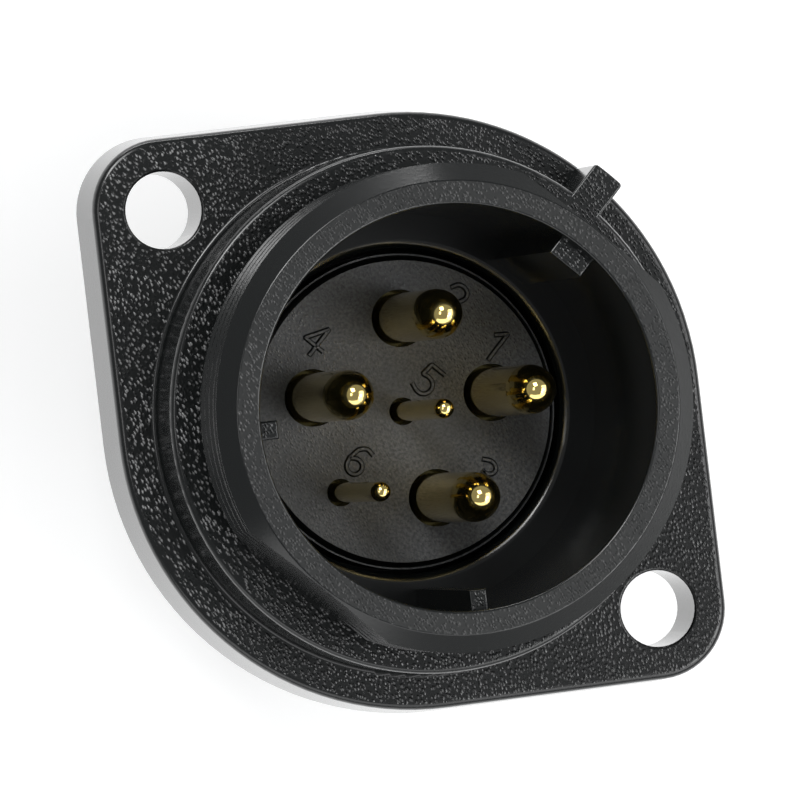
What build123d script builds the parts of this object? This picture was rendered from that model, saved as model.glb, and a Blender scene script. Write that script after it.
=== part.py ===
from build123d import *
import os
from math import acos, cos, radians, sin, tan

# Panel mount circular connector, male, four power pins and two signal pins. Millimetres.
# The origin is the centre of the flange's rear face, which lies against the panel.
# The mating axis is +Z, the master key and the tab are at +Y, and the two screw holes lie on X.

# Flange
flange_thickness = 3.5
flange_ledge = 1.85
screw_spacing = 32.2
screw_hole_diameter = 3.85
corner_radius = 3.55
flange_draft = 4.0
flange_front_round = 0.4
flange_rear_round = 0.1
screw_hole_round = 0.15

# Round boss and the index tab that runs from it to the flange's edge
boss_ledge = 1.1
boss_height = 3.75
boss_top_round = 0.3
boss_foot_round = 0.25
tab_width = 1.75
tab_corner_round = 0.2
tab_round = 0.12

# Barrel with the coupling thread, its two flats and the rim
barrel_height = 10.15
thread_diameter = 24.0
thread_depth = 0.55
thread_pitch = 1.0
thread_angle = 60.0
thread_root_width = 0.1
thread_shelf = 0.1
thread_overcut = 0.06
neck_height = 1.4
lead_in_step = 0.9
lead_in_height = 0.75
rim_wall = 1.15
rim_round = 0.15
flat_depth = 0.85

# Socket inside the barrel and its three keys
socket_depth = 12.35
key_height = 1.0
key_drop = 0.8
key_round = 0.12
master_key_width = 2.0
side_key_width = 0.9
side_key_angle = 135.0

# Floor web of the socket, which holds the insulator from the front
web_thickness = 2.8
web_opening_round = 0.45

# Spigot behind the flange, which passes through the panel
spigot_wall = 1.55
spigot_end_chamfer = 0.4

# Panel seal, a rubber ring in a groove of the rear face
seal_from_spigot = 1.1
seal_section = 1.5
seal_proud = 0.3
groove_side_gap = 0.1

# Front insulator
insulator_diameter = 15.9
insulator_gap = 0.25
insulator_length = 7.9
face_step_width = 0.35
face_step_drop = 0.45
face_lip_width = 0.08
shoulder_step = 1.13

# Flat gasket between the web and the insulator's shoulder
gasket_thickness = 0.8
gasket_edge_gap = 0.1

# Rear insulator, retaining ring and the rib that stops both insulators from turning
rear_insulator_thickness = 3.8
slide_gap = 0.12
ring_thickness = 2.0
ring_width = 1.78
ring_recess = 0.6
ring_slot_width = 1.6
ring_slot_depth = 1.0
rib_width = 1.6
rib_height = 0.7

# Contact places, seen from the front with the key up
power_circle_radius = 4.68
power_upper_angle = 40.0
power_lower_angle = 120.0
signal_offset = 5.19

# Contacts
pin_hole_gap = 0.2
pin_hole_depth = 1.6
shoulder_depth = 3.9
shoulder_length = 1.0
body_gap = 0.1
barrel_recess = 0.5
barrel_gap = 0.1
wire_bore_depth = 5.0
wire_bore_point = 0.5
sight_hole_depth = 3.9
clip_wall = 0.4
clip_gap = 0.08
clip_slit_angle = 50.0

power_pin_diameter = 2.5
power_body_diameter = 3.3
power_shoulder_diameter = 4.3
power_barrel_diameter = 3.8
power_wire_diameter = 2.7
power_sight_diameter = 0.9
power_nose_length = 2.3
power_tip_below_rim = 2.1

signal_pin_diameter = 1.0
signal_body_diameter = 1.8
signal_shoulder_diameter = 2.8
signal_barrel_diameter = 2.1
signal_wire_diameter = 1.2
signal_sight_diameter = 0.5
signal_nose_length = 0.6
signal_tip_below_rim = 2.8

# Heights along the mating axis that several pieces share
boss_top = flange_thickness + boss_height
rim_top = flange_thickness + barrel_height
socket_floor = rim_top - socket_depth
web_back = socket_floor - web_thickness
shoulder_front = web_back - gasket_thickness
insulator_back = socket_floor - insulator_length
rear_insulator_back = insulator_back - rear_insulator_thickness
ring_back = rear_insulator_back - ring_thickness
contact_seat = socket_floor - shoulder_depth
spigot_end = ring_back - ring_recess
contact_back = spigot_end + barrel_recess

# Radii that several pieces share
thread_radius = thread_diameter / 2
rim_radius = thread_radius - lead_in_step
socket_radius = rim_radius - rim_wall
boss_radius = thread_radius + boss_ledge
flange_radius = boss_radius + flange_ledge
insulator_radius = insulator_diameter / 2
web_opening_radius = insulator_radius + insulator_gap
slide_radius = insulator_radius + shoulder_step
rear_bore_radius = slide_radius + slide_gap
spigot_radius = rear_bore_radius + spigot_wall
seal_radius = spigot_radius + seal_from_spigot + seal_section / 2
overlap = 0.5


class Contact:
    """Sizes of one kind of turned contact."""

    def __init__(self, pin, body, shoulder, barrel, wire, sight, nose, below_rim):
        self.pin_radius = pin / 2
        self.body_radius = body / 2
        self.shoulder_radius = shoulder / 2
        self.barrel_radius = barrel / 2
        self.wire_radius = wire / 2
        self.sight_radius = sight / 2
        self.nose_length = nose
        self.nose_base = rim_top - below_rim - nose
        self.pocket_radius = self.shoulder_radius + body_gap


power = Contact(
    power_pin_diameter,
    power_body_diameter,
    power_shoulder_diameter,
    power_barrel_diameter,
    power_wire_diameter,
    power_sight_diameter,
    power_nose_length,
    power_tip_below_rim,
)
signal = Contact(
    signal_pin_diameter,
    signal_body_diameter,
    signal_shoulder_diameter,
    signal_barrel_diameter,
    signal_wire_diameter,
    signal_sight_diameter,
    signal_nose_length,
    signal_tip_below_rim,
)


def on_circle(radius, angle_from_key):
    """Point at an angle from the key, turning clockwise as seen from the front."""
    angle = radians(90 - angle_from_key)
    return (radius * cos(angle), radius * sin(angle))


contacts = {
    "power_pin_1": (power, on_circle(power_circle_radius, power_upper_angle)),
    "power_pin_2": (power, on_circle(power_circle_radius, -power_upper_angle)),
    "power_pin_3": (power, on_circle(power_circle_radius, power_lower_angle)),
    "power_pin_4": (power, on_circle(power_circle_radius, -power_lower_angle)),
    "signal_pin_5": (signal, (0, 0)),
    "signal_pin_6": (signal, (0, -signal_offset)),
}


def cylinder(radius, bottom, top):
    """Upright cylinder on the mating axis between two heights."""
    upright = (Align.CENTER, Align.CENTER, Align.MIN)
    return Pos(0, 0, bottom) * Cylinder(radius, top - bottom, align=upright)


def turned(outline, rounds=()):
    """Solid of revolution from (radius, height) corners; rounds are (corner, fillet radius)."""
    face = make_face(Polyline(*outline, close=True))
    for (radius, height), size in rounds:
        corner = face.vertices().sort_by_distance((radius, height, 0))[0]
        face = fillet(corner, size)
    return Rot(90, 0, 0) * revolve(face, Axis.Y, 360)


def flange_outline(margin):
    """Round middle joined to a round corner at each screw by tangent lines, wider by a margin all round."""
    reach = screw_spacing / 2
    middle_radius = flange_radius + margin
    end_radius = corner_radius + margin
    lean = acos((middle_radius - end_radius) / reach)
    middle = (middle_radius * cos(lean), middle_radius * sin(lean))
    corner = (reach + end_radius * cos(lean), end_radius * sin(lean))
    tip = reach + end_radius
    return make_face(
        [
            Line(middle, corner),
            ThreePointArc(corner, (tip, 0), (corner[0], -corner[1])),
            Line((corner[0], -corner[1]), (middle[0], -middle[1])),
            ThreePointArc((middle[0], -middle[1]), (0, -middle_radius), (-middle[0], -middle[1])),
            Line((-middle[0], -middle[1]), (-corner[0], -corner[1])),
            ThreePointArc((-corner[0], -corner[1]), (-tip, 0), (-corner[0], corner[1])),
            Line((-corner[0], corner[1]), (-middle[0], middle[1])),
            ThreePointArc((-middle[0], middle[1]), (0, middle_radius), middle),
        ]
    )


def make_flange():
    """Plate with two screw holes, its wall drafted towards the front and its edges rounded as moulded."""
    rear_margin = flange_thickness * tan(radians(flange_draft))
    rear = flange_outline(rear_margin)
    front = Pos(0, 0, flange_thickness) * flange_outline(0)
    plate = loft([rear, front], ruled=True)
    front_edges = plate.faces().sort_by(Axis.Z)[-1].edges()
    plate = fillet(front_edges, flange_front_round)
    rear_edges = plate.faces().sort_by(Axis.Z)[0].edges()
    plate = fillet(rear_edges, flange_rear_round)
    for side in (-1, 1):
        centre = Pos(side * screw_spacing / 2, 0, 0)
        plate -= centre * cylinder(screw_hole_diameter / 2, -overlap, flange_thickness + overlap)
    hole_rims = plate.faces().sort_by(Axis.Z)[-1].edges().filter_by(GeomType.CIRCLE)
    hole_rims = hole_rims.filter_by(lambda edge: edge.radius < corner_radius)
    hole_rims = hole_rims.filter_by(lambda edge: edge.is_closed)
    return fillet(hole_rims, screw_hole_round)


def make_turned_body():
    """Boss, neck, threaded barrel, rim, socket, web, rear bore and spigot in one turning."""
    neck_radius = thread_radius - thread_depth
    thread_start = boss_top + neck_height
    skirt = boss_radius + 2 * boss_foot_round
    boss_edge = (boss_radius, boss_top)
    foot = (boss_radius, flange_thickness)
    rim_inside = (socket_radius, rim_top)
    rim_outside = (rim_radius, rim_top)
    opening_edge = (web_opening_radius, socket_floor)
    outline = [
        rim_inside,
        rim_outside,
        (thread_radius, rim_top - lead_in_height),
        (thread_radius, thread_start),
        (neck_radius, thread_start - thread_depth),
        (neck_radius, boss_top),
        boss_edge,
        foot,
        (skirt, flange_thickness),
        (skirt, flange_thickness / 2),
        (spigot_radius, flange_thickness / 2),
        (spigot_radius, spigot_end + spigot_end_chamfer),
        (spigot_radius - spigot_end_chamfer, spigot_end),
        (rear_bore_radius, spigot_end),
        (rear_bore_radius, web_back),
        (web_opening_radius, web_back),
        opening_edge,
        (socket_radius, socket_floor),
    ]
    rounds = [
        (rim_inside, rim_round),
        (rim_outside, rim_round),
        (boss_edge, boss_top_round),
        (foot, boss_foot_round),
        (opening_edge, web_opening_round),
    ]
    return turned(outline, rounds)


def make_thread_groove():
    """Right-handed V groove of the coupling thread, as the solid that is cut from the barrel."""
    bottom = boss_top + neck_height - thread_depth
    top = rim_top - lead_in_height - thread_shelf
    root_radius = thread_radius - thread_depth
    root_half = thread_root_width / 2
    flank = thread_depth + thread_overcut
    open_half = root_half + flank * tan(radians(thread_angle / 2))
    section = Polyline(
        (0, -root_half),
        (flank, -open_half),
        (flank + thread_overcut, -open_half),
        (flank + thread_overcut, open_half),
        (flank, open_half),
        (0, root_half),
        close=True,
    )
    across = Plane(origin=(root_radius, 0, bottom), x_dir=(1, 0, 0), z_dir=(0, -1, 0))
    path = Helix(thread_pitch, top - bottom + thread_pitch, root_radius, center=(0, 0, bottom))
    groove = sweep(across * make_face(section), path=path, is_frenet=True)
    return groove & cylinder(thread_radius + overlap, bottom - thread_pitch, top)


def make_key(width):
    """Rib along the socket wall at +Y, from the floor to just below the rim, softened in front."""
    length = socket_depth - key_drop
    reach = key_height + overlap
    middle = socket_radius - key_height + reach / 2
    rib = Pos(0, middle, socket_floor + length / 2) * Box(width, reach, length)
    end_edges = rib.faces().sort_by(Axis.Z)[-1].edges().sort_by(Axis.Y)[:3]
    return fillet(end_edges, key_round)


def make_tab():
    """Index rib from the boss out to the flange's round edge, level with the boss."""
    inner = boss_radius - overlap
    bottom = flange_thickness / 2
    bar = Box(tab_width, flange_radius - inner, boss_top - bottom)
    bar = Pos(0, (inner + flange_radius) / 2, (bottom + boss_top) / 2) * bar
    tab = bar & cylinder(flange_radius, bottom, boss_top)
    tab = fillet(tab.edges().filter_by(Axis.Z).sort_by(Axis.Y)[2:], tab_corner_round)
    top_edges = tab.faces().sort_by(Axis.Z)[-1].edges().sort_by(Axis.Y)[1:]
    return fillet(top_edges, tab_round)


def make_shell():
    """Flange, boss, barrel, keys and spigot, moulded in one piece."""
    body = make_turned_body() - make_thread_groove()
    flat_height = rim_top + overlap - boss_top
    for side in (-1, 1):
        beyond = side * (thread_radius - flat_depth + overlap)
        block = Box(2 * thread_diameter, 2 * overlap, flat_height)
        body -= Pos(0, beyond, boss_top + flat_height / 2) * block
    body += make_key(master_key_width)
    for angle in (-side_key_angle, side_key_angle):
        body += Rot(0, 0, angle) * make_key(side_key_width)
    rib_top = shoulder_front
    rib_reach = rib_height + spigot_wall / 2
    rib_middle = rear_bore_radius - rib_height + rib_reach / 2
    rib_centre = Pos(0, rib_middle, (rib_top + rear_insulator_back) / 2)
    body += rib_centre * Box(rib_width, rib_reach, rib_top - rear_insulator_back)
    flange = make_flange()
    flange -= cylinder(spigot_radius - spigot_wall / 2, -overlap, flange_thickness + overlap)
    shell = body + flange + make_tab()
    groove_half = seal_section / 2 + groove_side_gap
    groove_depth = seal_section - seal_proud
    groove = cylinder(seal_radius + groove_half, -overlap, groove_depth)
    groove -= cylinder(seal_radius - groove_half, -overlap, groove_depth)
    return shell - groove


def make_panel_seal():
    """Rubber ring in the rear groove, standing a little proud of the face."""
    centre = seal_section / 2 - seal_proud
    return Pos(0, 0, centre) * Torus(seal_radius, seal_section / 2)


def make_gasket():
    """Flat ring squeezed between the web and the front insulator's shoulder."""
    outer = cylinder(slide_radius - gasket_edge_gap, shoulder_front, web_back)
    return outer - cylinder(insulator_radius + gasket_edge_gap, shoulder_front, web_back)


def anti_turn_notch(bottom, top):
    """Slot in an insulator's edge for the shell's rib."""
    depth = rib_height + slide_gap
    middle = rear_bore_radius - depth + overlap
    width = rib_width + 2 * slide_gap
    place = Pos(0, middle, (bottom + top) / 2)
    return place * Box(width, 2 * overlap, top - bottom)


def make_front_insulator():
    """Face disc with a sloped edge and thin lip, a shoulder and a stepped bore for each contact."""
    step = socket_floor - face_step_drop
    outline = [
        (0, socket_floor),
        (insulator_radius - face_step_width, socket_floor),
        (insulator_radius - face_lip_width, step),
        (insulator_radius, step),
        (insulator_radius, shoulder_front),
        (slide_radius, shoulder_front),
        (slide_radius, insulator_back),
        (0, insulator_back),
    ]
    body = turned(outline)
    hole_end = socket_floor - pin_hole_depth
    for kind, (x, y) in contacts.values():
        hole = cylinder(kind.pin_radius + pin_hole_gap, hole_end - overlap, socket_floor + overlap)
        hole += cylinder(kind.body_radius + body_gap, contact_seat - overlap, hole_end)
        hole += cylinder(kind.pocket_radius, insulator_back - overlap, contact_seat)
        body -= Pos(x, y, 0) * hole
    return body - anti_turn_notch(insulator_back - overlap, shoulder_front)


def make_rear_insulator():
    """Disc that closes the contact pockets and lets the crimp barrels through."""
    body = cylinder(slide_radius, rear_insulator_back, insulator_back)
    below = rear_insulator_back - overlap
    above = insulator_back + overlap
    for kind, (x, y) in contacts.values():
        body -= Pos(x, y, 0) * cylinder(kind.barrel_radius + barrel_gap, below, above)
    return body - anti_turn_notch(below, above)


def make_retaining_ring():
    """Ring nut in the spigot's end, with four spanner slots in its rear face."""
    ring = cylinder(slide_radius, ring_back, rear_insulator_back)
    opening = slide_radius - ring_width
    ring -= cylinder(opening, ring_back - overlap, rear_insulator_back + overlap)
    bar = Pos(0, 0, ring_back) * Box(2 * rear_bore_radius, ring_slot_width, 2 * ring_slot_depth)
    return ring - bar - Rot(0, 0, 90) * bar


def make_nose(kind):
    """Long rounded end of a pin, half an ellipse turned about the axis."""
    base = (0, kind.nose_base)
    side = (kind.pin_radius, kind.nose_base)
    curve = EllipticalCenterArc(base, kind.pin_radius, kind.nose_length, arc_size=90)
    face = make_face([Line(base, side), curve, Line((0, kind.nose_base + kind.nose_length), base)])
    return Rot(90, 0, 0) * revolve(face, Axis.Y, 360)


def make_contact(kind, place):
    """Turned contact: round-nosed pin, body, shoulder, neck and crimp barrel with a sight hole."""
    body_top = socket_floor - pin_hole_depth - body_gap
    shoulder_back = contact_seat - shoulder_length
    neck_radius = kind.barrel_radius - clip_wall
    bore_end = contact_back + wire_bore_depth
    outline = [
        (0, kind.nose_base),
        (kind.pin_radius, kind.nose_base),
        (kind.pin_radius, body_top),
        (kind.body_radius, body_top),
        (kind.body_radius, contact_seat),
        (kind.shoulder_radius, contact_seat),
        (kind.shoulder_radius, shoulder_back),
        (neck_radius, shoulder_back),
        (neck_radius, insulator_back),
        (kind.barrel_radius, insulator_back),
        (kind.barrel_radius, contact_back),
        (kind.wire_radius, contact_back),
        (kind.wire_radius, bore_end),
        (0, bore_end + wire_bore_point),
    ]
    contact = turned(outline) + make_nose(kind)
    sight_hole = Rot(0, 90, 0) * cylinder(kind.sight_radius, 0, kind.barrel_radius + overlap)
    contact -= Pos(0, 0, contact_back + sight_hole_depth) * sight_hole
    return Pos(*place, 0) * contact


def make_clip(kind, place):
    """Slit spring sleeve on a contact's neck, between its shoulder and the rear insulator."""
    top = contact_seat - shoulder_length - clip_gap
    bottom = insulator_back + clip_gap
    inner = kind.barrel_radius - clip_wall + clip_gap
    outer = kind.pocket_radius - clip_gap
    sleeve = cylinder(outer, bottom, top) - cylinder(inner, bottom, top)
    half = radians(clip_slit_angle / 2)
    far = 2 * outer
    wedge_corners = [(0, 0), (far * sin(half), far * cos(half)), (-far * sin(half), far * cos(half))]
    wedge = extrude(make_face(Polyline(*wedge_corners, close=True)), top - bottom)
    return Pos(*place, 0) * (sleeve - Pos(0, 0, bottom) * wedge)


os.makedirs("parts", exist_ok=True)
pieces = {
    "shell": make_shell(),
    "panel_seal": make_panel_seal(),
    "insulator_gasket": make_gasket(),
    "front_insulator": make_front_insulator(),
    "rear_insulator": make_rear_insulator(),
    "retaining_ring": make_retaining_ring(),
}
for name, (kind, place) in contacts.items():
    pieces[name] = make_contact(kind, place)
    pieces[name.replace("pin", "clip")] = make_clip(kind, place)
for name, piece in pieces.items():
    export_step(piece, f"parts/{name}.step")
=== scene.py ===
# %% [markdown]
# Panel mount circular connector
# This lesson dresses a CAD part: a black moulded socket with a screw thread round its barrel, a round
# insulator at its bottom and six gold plated pins standing in it.
# The CAD model is the fixed frame. Everything built here sits on it, in the same place and in metres,
# with the mating axis up along Z and the key of the socket towards Y.

# %% Load the frame
from math import atan2, cos, radians, sin

import bmesh
import bpy
from mathutils import Matrix, Vector


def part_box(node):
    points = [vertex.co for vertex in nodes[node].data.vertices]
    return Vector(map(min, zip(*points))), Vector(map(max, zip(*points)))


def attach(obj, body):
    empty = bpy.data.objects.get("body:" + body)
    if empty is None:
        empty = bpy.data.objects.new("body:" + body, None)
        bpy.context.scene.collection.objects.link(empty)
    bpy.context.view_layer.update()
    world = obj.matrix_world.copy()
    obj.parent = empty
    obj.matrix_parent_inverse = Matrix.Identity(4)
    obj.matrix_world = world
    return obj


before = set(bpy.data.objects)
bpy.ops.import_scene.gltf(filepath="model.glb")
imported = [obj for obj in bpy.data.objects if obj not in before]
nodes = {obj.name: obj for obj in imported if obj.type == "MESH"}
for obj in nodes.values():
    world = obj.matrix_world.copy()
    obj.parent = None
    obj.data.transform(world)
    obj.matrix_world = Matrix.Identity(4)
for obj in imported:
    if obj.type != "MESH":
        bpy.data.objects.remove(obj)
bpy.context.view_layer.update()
mm = 0.001
print("CAD pieces:", len(nodes))

# %% [markdown]
# The connector's heights come from the frame, so this script keeps fitting when the CAD part is made
# again with other sizes. What can't be read from a box, the height of the flange's front face, is
# given here as a driving size.

# %% Driving sizes
shell_low, shell_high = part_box("shell")
floor_height = shell_low.z
flange_front = 3.5 * mm
rim_top = shell_high.z
face_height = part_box("front_insulator")[1].z
print("rim at", round(rim_top / mm, 2), "mm, insulator face at", round(face_height / mm, 2), "mm")

# %% [markdown]
# The photograph was taken from almost straight in front. The camera stands about 41 cm away with a
# long lens, 13 degrees off the mating axis, and the connector is turned 38 degrees in the picture.
# Those angles make one matrix that turns the object's axes into the camera's: right, up and towards
# the viewer. Its inverse places the camera, and later the lamps, because it is easier to say where a
# lamp stands in the picture than in the object.

# %% Camera
tilt_angle = 13.04
tilt_direction = 4.21
roll_in_picture = 38.12
view_tilt = Matrix.Rotation(radians(tilt_direction), 3, "Z") @ Matrix.Rotation(radians(tilt_angle), 3, "Y")
view_tilt = view_tilt @ Matrix.Rotation(radians(-tilt_direction - roll_in_picture), 3, "Z")
picture_axes = view_tilt.inverted()
aim = Vector((0, 0, flange_front))
camera_distance = 413.34 * mm
camera_offset = Vector((-0.6385 * mm, 0.5324 * mm, camera_distance))
picture_width = 800
focal_length = 8266.8


def in_picture(right, up, towards):
    """A point given along the picture's own axes, from the middle of the flange."""
    return aim + picture_axes @ Vector((right, up, towards))


camera_data = bpy.data.cameras.new("camera")
camera_data.sensor_width = 36
camera_data.lens = 36 * focal_length / picture_width
camera_data.clip_start = 0.01
camera = bpy.data.objects.new("camera", camera_data)
camera.matrix_world = Matrix.Translation(in_picture(*camera_offset)) @ picture_axes.to_4x4()
bpy.context.scene.collection.objects.link(camera)
bpy.context.scene.camera = camera
print("lens", round(camera_data.lens), "mm at", round(camera_distance, 3), "m")

# %% [markdown]
# A material is a small network of nodes. The first helper below adds one node, sets its plain values
# and joins its inputs to other nodes' outputs, so each finish reads as a short list. The second makes
# a material with no nodes in it, to start from.


# %% A helper for nodes
def add_node(material, kind, values=None, **settings):
    """One node. values gives its inputs by name or number: an output socket is joined, else it is set."""
    node = material.node_tree.nodes.new("ShaderNode" + kind)
    for name, value in settings.items():
        setattr(node, name, value)
    for name, value in (values or {}).items():
        if isinstance(value, bpy.types.NodeSocket):
            material.node_tree.links.new(value, node.inputs[name])
        else:
            node.inputs[name].default_value = value
    return node


def new_material(name):
    """A material with no nodes in it."""
    material = bpy.data.materials.new(name)
    material.use_nodes = True
    material.node_tree.nodes.clear()
    return material


print("node helper ready")

# %% [markdown]
# Four steps come back in every finish: to stretch a value from one range to another, to multiply two
# values, to blend two colours, and to take one coordinate out of a vector. Each gets a name here, and
# gives the output socket that the next step is joined to.


# %% Helpers for the steps that come back
def remap(material, value, low, high, at_low, at_high):
    """A value stretched so that low gives at_low and high gives at_high, and never beyond those two."""
    return add_node(material, "MapRange", {"Value": value, 1: low, 2: high, 3: at_low, 4: at_high}).outputs[0]


def product(material, one, two):
    """Two values multiplied."""
    return add_node(material, "Math", {0: one, 1: two}, operation="MULTIPLY").outputs[0]


def blend(material, amount, first, second):
    """A colour between two others: the first at amount 0, the second at 1."""
    return add_node(material, "Mix", {0: amount, 6: first, 7: second}, data_type="RGBA").outputs[2]


def coordinate(material, vector, axis):
    """The X, Y or Z of a vector."""
    return add_node(material, "SeparateXYZ", {0: vector}).outputs[axis]


print("step helpers ready")

# %% [markdown]
# The product stands on a white table in white light. The table is a diffuse plane that catches the
# soft shadow. For the camera a little light of its own is added, so that it reads as white without
# more light on the object. Glossy plastic and metal see such a light too, strong close to the
# connector, where it makes the pale band along the flange's side, and weak further out, so that the
# slopes that mirror the far table stay dark. Light Path tells these kinds of ray apart.

# %% White table
white = (1, 1, 1, 1)
glow_in_camera = 0.4
near_glow = 0.9
far_glow = 0.2
near_reach = 35 * mm
far_reach = 90 * mm

table_white = new_material("white_table")
path = add_node(table_white, "LightPath")
place = add_node(table_white, "TexCoord").outputs["Object"]
distance = add_node(table_white, "VectorMath", {0: place}, operation="LENGTH").outputs["Value"]
seen = product(table_white, path.outputs["Is Camera Ray"], glow_in_camera)
near = remap(table_white, distance, near_reach, far_reach, near_glow, far_glow)
mirrored = product(table_white, path.outputs["Is Glossy Ray"], near)
glow = add_node(table_white, "Math", {0: seen, 1: mirrored}, operation="ADD")
card = add_node(table_white, "BsdfDiffuse", {"Color": (0.8, 0.8, 0.8, 1)})
light = add_node(table_white, "Emission", {"Color": white, "Strength": glow.outputs[0]})
both = add_node(table_white, "AddShader", {0: card.outputs[0], 1: light.outputs[0]})
add_node(table_white, "OutputMaterial", {"Surface": both.outputs[0]})

half = 1.5
table_mesh = bpy.data.meshes.new("table")
corners = [(-half, -half, 0), (half, -half, 0), (half, half, 0), (-half, half, 0)]
table_mesh.from_pydata(corners, [], [(0, 1, 2, 3)])
table = bpy.data.objects.new("table", table_mesh)
table.location = (0, 0, floor_height)
table_mesh.materials.append(table_white)
bpy.context.scene.collection.objects.link(table)
print("table at", round(floor_height / mm, 2), "mm")

# %% [markdown]
# Round the table is a dim room. The camera sees its walls as plain white. Glossy faces see some of
# that white just above the table's edge, and everything else gets the dim, slightly cool light that
# keeps the black plastic black.

# %% Dim room
room_level = 0.28
horizon_glow = 0.35
world = bpy.data.worlds.new("dim_room")
bpy.context.scene.world = world
world.use_nodes = True
world.node_tree.nodes.clear()
path = add_node(world, "LightPath")
climb = coordinate(world, add_node(world, "TexCoord").outputs["Generated"], "Z")
mirrored = product(world, path.outputs["Is Glossy Ray"], remap(world, climb, 0.05, 0.22, horizon_glow, 0.0))
share = add_node(world, "Math", {0: path.outputs["Is Camera Ray"], 1: mirrored}, operation="MAXIMUM")
wall_light = add_node(world, "Background", {"Color": white, "Strength": 1.0})
room_light = add_node(world, "Background", {"Color": (0.96, 0.98, 1.0, 1), "Strength": room_level})
room = add_node(world, "MixShader", {0: share.outputs[0], 1: room_light.outputs[0], 2: wall_light.outputs[0]})
add_node(world, "OutputWorld", {"Surface": room.outputs[0]})
bpy.context.scene.view_settings.view_transform = "Standard"
print("room level", room_level)

# %% [markdown]
# Black gloss and gold show little but what they mirror, so the lamps are placed where the photograph's
# highlights say. A wide softbox with a brighter core fills the right side and one lies below. At the
# upper left a smaller softbox with a core makes the highlight on the thread and the hot spot on each
# pin's tip, and a small window on the left makes the pale patch beside it. A narrow window far up the
# picture skims over the part and draws the bright lines on the upper edges.
# A softbox is a rectangular area lamp. Its power is worked out from its size, so that its level is the
# brightness of its face: 1 is as bright as white paper.


# %% A helper for softboxes
lamp_distance = 0.5


def add_softbox(name, turn, lean, width, height, level):
    """A rectangular lamp. turn is its place round the picture, in degrees from the right and upwards, lean
    its angle from the line of sight, and level the brightness of its face. Its width runs round the
    picture and its height towards the middle, both in metres."""
    outwards = Vector((cos(radians(turn)), sin(radians(turn)), 0)) * lamp_distance * sin(radians(lean))
    place = in_picture(outwards.x, outwards.y, lamp_distance * cos(radians(lean)))
    data = bpy.data.lights.new(name, "AREA")
    data.shape = "RECTANGLE"
    data.size = width
    data.size_y = height
    data.energy = 4 * level * width * height
    towards = (place - aim).normalized()
    around = picture_axes @ Vector((-sin(radians(turn)), cos(radians(turn)), 0))
    axes = Matrix((around, towards.cross(around), towards)).transposed()
    lamp = bpy.data.objects.new(name, data)
    lamp.matrix_world = Matrix.Translation(place) @ axes.to_4x4()
    bpy.context.scene.collection.objects.link(lamp)
    print(name, round(data.energy, 3), "W")


# %% [markdown]
# Each lamp is one line: its turn and lean in degrees, its width and height in metres, and its level.

# %% Lamps
add_softbox("right_softbox", -10, 57, 0.72, 0.34, 1.6)
add_softbox("right_core", -15, 50, 0.22, 0.16, 3.5)
add_softbox("low_softbox", 270, 60, 0.80, 0.24, 1.1)
add_softbox("left_softbox", 109, 38, 0.20, 0.22, 4.6)
add_softbox("left_core", 118, 36, 0.08, 0.08, 9.0)
add_softbox("left_window", 176, 25, 0.18, 0.10, 2.0)
add_softbox("top_window", 102, 86, 0.34, 0.05, 9.0)

# %% [markdown]
# Shell and insulators are moulded in black glass-filled nylon. The steel mould was spark-eroded on the
# faces that look up, which leaves a grain of small bumps on them, while walls and thread are smooth.
# The grain is far too fine to build as mesh, so it is a bump made in the material. First the place:
# a face is grainy where its true normal looks up, and how grainy changes slowly from spot to spot.


# %% Where the grain sits
def upward_face(material, place, lowest):
    """1 on faces that look straight up and lie above a height, 0 on walls and slopes."""
    normal = add_node(material, "NewGeometry").outputs["True Normal"]
    flat = remap(material, coordinate(material, normal, "Z"), 0.97, 0.99, 0.0, 1.0)
    if lowest is None:
        return flat
    above = remap(material, coordinate(material, place, "Z"), lowest, lowest + 0.5 * mm, 0.0, 1.0)
    return product(material, flat, above)


def slow_change(material, place):
    """A cloud a few millimetres wide, from about half to 1."""
    clouds = add_node(material, "TexNoise", {"Vector": place, "Scale": 260.0, "Detail": 3.0})
    return remap(material, clouds.outputs[0], 0.40, 0.60, 0.55, 1.0)


print("grain places ready")

# %% [markdown]
# One grain is a small cone. Voronoi cells are scattered like grains, and their distance gives each a
# cone that ends before it meets the next, so dark, flat base is left between them. A chance in the
# cell's colour lowers some of them. In the photograph the grains lean one way, so the space is
# stretched along that line before the cells are made.

# %% Grains
grain_stretch = 1.5
grain_along = picture_axes @ Vector((-0.5, 0.866, 0))
grain_turn = atan2(-grain_along.x, grain_along.y)


def grains(material, place, spacing):
    """Cones from 0 to 1, about one spacing apart and longer along one line."""
    stretched = add_node(material, "Mapping", {"Vector": place, "Rotation": (0, 0, grain_turn),
                                               "Scale": (1, grain_stretch, 1)}, vector_type="TEXTURE")
    cells = add_node(material, "TexVoronoi", {"Vector": stretched.outputs[0], "Scale": 1.0 / spacing})
    cones = remap(material, cells.outputs["Distance"], 0.05, 0.52, 1.0, 0.0)
    chance = coordinate(material, cells.outputs["Color"], "X")
    return product(material, cones, remap(material, chance, 0.0, 0.2, 0.0, 1.0))


print("grains lie at", round(grain_turn, 2), "radians")

# %% [markdown]
# The shell's grains glint more on one side, where the lamps catch them: there the tips of its grains
# read as pale specks, on the other they only shine. That glint is painted: a pale tone sits on the tips
# and is faded in across the part towards that side. The insulator's face has no such specks but is
# finely mottled, so its tone follows a noise instead.

# %% Painted glints and mottle of the grain
# The side of the part on which the painted glints on the grain tips are strongest.
glint_side = picture_axes @ Vector((-1, 0, 0))


def painted_glint_tips(material, place, pimples):
    """Painted glint: 1 on the tips of the grains on the glinting side, fading to almost nothing on the other.
    """
    tips = remap(material, pimples, 0.30, 0.75, 0.0, 1.0)
    across = add_node(material, "VectorMath", {0: place, 1: glint_side}, operation="DOT_PRODUCT")
    return product(material, tips, remap(material, across.outputs["Value"], 6.5 * mm, 10.5 * mm, 0.08, 1.0))


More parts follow.
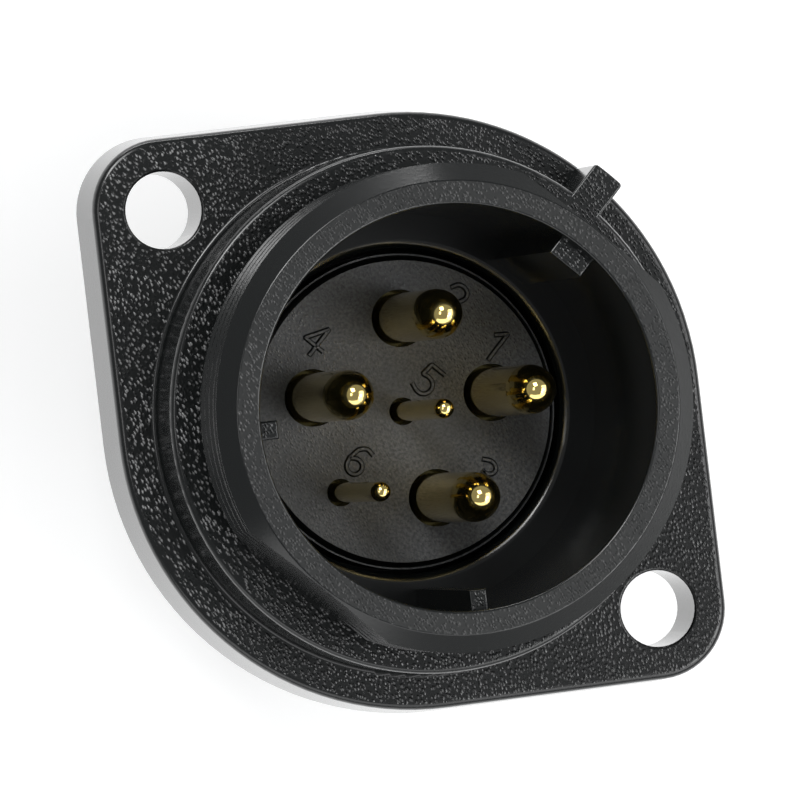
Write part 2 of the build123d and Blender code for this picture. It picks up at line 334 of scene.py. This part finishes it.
def fine_mottle(material, place, spacing):
    """A fine noise from 0 to 1."""
    clouds = add_node(material, "TexNoise", {"Vector": place, "Scale": 0.8 / spacing, "Detail": 4.0,
                                             "Roughness": 0.7})
    return remap(material, clouds.outputs[0], 0.38, 0.62, 0.0, 1.0)


print("grain tones ready")

# %% [markdown]
# Now the plastic. Its colour is nearly black on the walls; on the insulator, whose faces are paler,
# that near-black wall colour is painted shade. In the grain it is a little paler: on the insulator a fine
# mottle, on the shell painted glints on the grain tips. Its roughness is low on the walls, higher on the
# grainy faces and highest at the rim, which looks the dullest in the photograph. The cones are its bump.
# A refractive index of 1.56 suits filled nylon.

# %% Black plastic
# Near-black wall colour: the shell's own black, and on the insulator, whose faces are paler, a painted shade
# on its walls.
black_and_wall_shade = (0.004, 0.005, 0.005, 1)
rim_roughness = 0.42
nylon_index = 1.56


def black_plastic(name, spacing, relief, gloss, satin, shade, mottle_and_glint_shade, grain_and_glints_above=None):
    """Moulded nylon. spacing and relief are the grains' distance and height in metres, gloss the roughness of
    the walls and satin that of the grainy faces. shade is the plastic's colour on those faces and the pale
    colour that of its pale spots. Without a height limit the pale spots are a fine mottle. With one, the
    grain lies only above that height and its pale spots are painted glints on the grain tips. The walls
    are near black, painted shade where the faces are paler."""
    material = new_material(name)
    place = add_node(material, "TexCoord").outputs["Object"]
    pimples = grains(material, place, spacing)
    flat = upward_face(material, place, grain_and_glints_above)
    grainy = product(material, slow_change(material, place), flat)
    if grain_and_glints_above is None:
        spots_and_glints = fine_mottle(material, place, spacing)
    else:
        spots_and_glints = painted_glint_tips(material, place, pimples)
    # Pale spots in the grain: a fine mottle on the insulator, painted glints on the tips of the shell's
    # grains.
    tone = blend(material, product(material, grainy, spots_and_glints), shade, mottle_and_glint_shade)
    height = coordinate(material, place, "Z")
    rim = remap(material, height, rim_top - 0.3 * mm, rim_top - 0.1 * mm, satin, rim_roughness)
    strength = remap(material, grainy, 0.0, 1.0, 0.02, 1.0)
    bump = add_node(material, "Bump", {"Height": pimples, "Strength": strength, "Distance": relief})
    # Walls take the near-black colour, which on the insulator is painted shade.
    plastic = add_node(material, "BsdfPrincipled", {"Base Color": blend(material, flat, black_and_wall_shade, tone),
                                                    "Roughness": remap(material, flat, 0.0, 1.0, gloss, rim),
                                                    "IOR": nylon_index, "Normal": bump.outputs[0]})
    add_node(material, "OutputMaterial", {"Surface": plastic.outputs[0]})
    return material


# On the shell the pale grain colour is a painted glint on the grain tips.
shell_black = black_plastic("black_glass_filled_nylon", 0.17 * mm, 0.08 * mm, 0.20, 0.24, black_and_wall_shade,
                            (0.42, 0.42, 0.42, 1), grain_and_glints_above=2.0 * mm)
insulator_black = black_plastic("black_insulator_nylon", 0.13 * mm, 0.022 * mm, 0.30, 0.42,
                                (0.066, 0.069, 0.072, 1), (0.165, 0.17, 0.175, 1))
print("black plastics:", shell_black.name, "and", insulator_black.name)

# %% [markdown]
# The contacts are turned from copper alloy and plated with gold. Gold is a metal, so its colour is in
# its reflection. Very fine turning marks, made of a noise squeezed flat along the pin, and a slow
# change of gloss keep it from looking like paint. Down in the holes the gold lies in shade, and that
# shade is painted: its colour turns dark brown just below the insulator's face. The clips are plain spring
# bronze.


# %% Gold and bronze
def turned_metal(name, colour, hole_shade_colour, shade_below, roughness):
    """Metal with fine marks from the lathe. Below a height its colour is a painted shade, as in the depth of
    a hole.
    """
    material = new_material(name)
    place = add_node(material, "TexCoord").outputs["Object"]
    squeeze = add_node(material, "Mapping", {"Vector": place, "Scale": (0.08, 0.08, 1.0)})
    marks = add_node(material, "TexNoise", {"Vector": squeeze.outputs[0], "Scale": 9000.0, "Detail": 2.0})
    clouds = add_node(material, "TexNoise", {"Vector": place, "Scale": 900.0, "Detail": 2.0})
    gloss = remap(material, clouds.outputs[0], 0.3, 0.7, roughness * 0.7, roughness * 1.4)
    bump = add_node(material, "Bump", {"Height": marks.outputs[0], "Strength": 0.15, "Distance": 0.004 * mm})
    height = coordinate(material, place, "Z")
    out_of_hole_shade = remap(material, height, shade_below - 0.3 * mm, shade_below, 0.0, 1.0)
    tone = blend(material, out_of_hole_shade, hole_shade_colour, colour)
    metal = add_node(material, "BsdfPrincipled", {"Base Color": tone, "Metallic": 1.0, "Roughness": gloss,
                                                  "Normal": bump.outputs[0]})
    add_node(material, "OutputMaterial", {"Surface": metal.outputs[0]})
    return material


# Below the insulator's face the gold gets a painted shade, dark brown.
gold = turned_metal("gold_plating", (0.94, 0.74, 0.27, 1), (0.10, 0.085, 0.035, 1), face_height - 0.2 * mm,
                    0.10)
bronze = turned_metal("spring_bronze", (0.62, 0.40, 0.22, 1), (0.62, 0.40, 0.22, 1), 0.0, 0.3)
print("metals:", gold.name, "and", bronze.name)

# %% [markdown]
# The two seals are black rubber, duller than the nylon and a little uneven. One noise gives the
# unevenness, the colour and the roughness, because on rubber they come from the same dusty skin.

# %% Rubber
rubber = new_material("black_seal_rubber")
place = add_node(rubber, "TexCoord").outputs["Object"]
skin = add_node(rubber, "TexNoise", {"Vector": place, "Scale": 2500.0, "Detail": 4.0}).outputs[0]
tone = blend(rubber, skin, (0.010, 0.010, 0.010, 1), (0.025, 0.024, 0.023, 1))
bump = add_node(rubber, "Bump", {"Height": skin, "Strength": 0.3, "Distance": 0.03 * mm})
dust = remap(rubber, skin, 0.3, 0.7, 0.55, 0.75)
body = add_node(rubber, "BsdfPrincipled", {"Base Color": tone, "Roughness": dust, "Normal": bump.outputs[0]})
add_node(rubber, "OutputMaterial", {"Surface": body.outputs[0]})
print("rubber:", rubber.name)

# %% [markdown]
# Each hole of the insulator has its number moulded beside it, in raised strokes with a flat top. A
# text object would bring a font's own shapes, so the six figures are drawn here as lines, in a box
# one unit high with its middle at zero. Their places on the face are in millimetres.

# %% Lines of the hole numbers
number_height = 1.55 * mm
number_lines = {
    1: [[(-0.22, 0.25), (0.05, 0.5), (0.05, -0.5)]],
    2: [[(-0.3, 0.28), (-0.2, 0.45), (0.0, 0.5), (0.22, 0.42), (0.28, 0.22), (0.15, -0.02), (-0.3, -0.5),
         (0.32, -0.5)]],
    3: [[(-0.28, 0.38), (-0.05, 0.5), (0.2, 0.42), (0.25, 0.22), (0.1, 0.06), (-0.05, 0.04)],
        [(-0.05, 0.04), (0.2, -0.05), (0.3, -0.25), (0.18, -0.44), (-0.05, -0.5), (-0.3, -0.38)]],
    4: [[(0.32, -0.2), (-0.34, -0.2), (0.12, 0.5), (0.12, -0.5)]],
    5: [[(0.26, 0.5), (-0.2, 0.5), (-0.26, 0.08), (0.0, 0.14), (0.22, 0.03), (0.3, -0.18), (0.2, -0.42),
         (-0.04, -0.5), (-0.28, -0.4)]],
    6: [[(0.2, 0.46), (-0.02, 0.5), (-0.22, 0.3), (-0.3, -0.1), (-0.24, -0.38), (0.0, -0.5), (0.22, -0.4),
         (0.28, -0.18), (0.18, 0.0), (-0.04, 0.06), (-0.24, -0.06)]],
}
number_places = {1: (1.78, 5.65), 2: (-1.37, 6.12), 3: (5.24, 0.11), 4: (-5.70, 0.11), 5: (0.04, 1.99),
                 6: (-0.27, -3.39)}
print("numbers:", len(number_places))

# %% [markdown]
# The cutter that engraved the mould left round bends. Cutting every corner a quarter of the way along
# its sides, twice, rounds a line. Long straight sides first get a point near each end, so that only
# their ends are rounded and the figure 4 keeps its straight legs.

# %% Round bends
bend_reach = 0.07
long_side = 0.3


def keep_straight(points):
    """The same line with two points added on its long sides, near their ends."""
    line = [points[0]]
    for start, end in zip(points, points[1:]):
        length = (end - start).length
        if length > long_side:
            line.append(start.lerp(end, bend_reach / length))
            line.append(start.lerp(end, 1.0 - bend_reach / length))
        line.append(end)
    return line


def round_bends(points):
    """The same line with every corner cut off a quarter of the way along its sides."""
    rounded = [points[0]]
    for start, end in zip(points, points[1:]):
        rounded.append(start.lerp(end, 0.25))
        rounded.append(start.lerp(end, 0.75))
    return rounded + [points[-1]]


print("bends reach", round(bend_reach * number_height / mm, 2), "mm along a side")

# %% [markdown]
# A stroke is a ribbon of mesh. Each point of its line gets four corners: the left foot, the left and
# right edges of the flat top, and the right foot. The walls lean and get the insulator's near-black wall
# colour, a painted shade that draws a dark line on both sides of each stroke.

# %% Strokes
stroke_width = 0.30 * mm
stroke_rise = 0.12 * mm
stroke_sink = 0.02 * mm
top_share = 0.20
end_share = 0.8


def add_stroke(mesh, points):
    """A raised ribbon along a line of points on the insulator's face."""
    low = face_height - stroke_sink
    high = face_height + stroke_rise
    last = len(points) - 1
    rails = []
    for index, point in enumerate(points):
        along = (points[min(index + 1, last)] - points[max(index - 1, 0)]).normalized()
        across = Vector((-along.y, along.x))
        reach = along * (0.5 * stroke_width * ((index == last) - (index == 0)))
        foot = [point + reach + across * side * 0.5 * stroke_width for side in (1, -1)]
        top = [point + end_share * reach + across * side * top_share * stroke_width for side in (1, -1)]
        corners = [(*foot[0], low), (*top[0], high), (*top[1], high), (*foot[1], low)]
        rails.append([mesh.verts.new(corner) for corner in corners])
    for one, two in zip(rails, rails[1:]):
        for k in range(4):
            mesh.faces.new([one[k], one[(k + 1) % 4], two[(k + 1) % 4], two[k]])
    mesh.faces.new(rails[0][::-1])
    mesh.faces.new(rails[-1])


strokes = bmesh.new()
for number, (x, y) in number_places.items():
    middle = Vector((x * mm, y * mm))
    for line in number_lines[number]:
        bends = round_bends(round_bends(keep_straight([Vector(point) for point in line])))
        add_stroke(strokes, [middle + point * number_height for point in bends])
bmesh.ops.recalc_face_normals(strokes, faces=strokes.faces)
number_mesh = bpy.data.meshes.new("hole_numbers")
strokes.to_mesh(number_mesh)
strokes.free()
numbers = bpy.data.objects.new("hole_numbers", number_mesh)
bpy.context.scene.collection.objects.link(numbers)
number_mesh.materials.append(insulator_black)
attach(numbers, "root")
print("hole numbers:", len(number_mesh.polygons), "faces")

# %% [markdown]
# The CAD shapes are already right, down to the thread and the rounded edges, so they keep their mesh
# and only get their finish. The name of each piece says what it is made of.

# %% Finishes on the CAD pieces
for name, node in nodes.items():
    if "insulator" in name and "gasket" not in name:
        finish = insulator_black
    elif name in ("shell", "retaining_ring"):
        finish = shell_black
    elif "pin" in name:
        finish = gold
    elif "clip" in name:
        finish = bronze
    else:
        finish = rubber
    node.data.materials.clear()
    node.data.materials.append(finish)
    print(name, "in", finish.name)
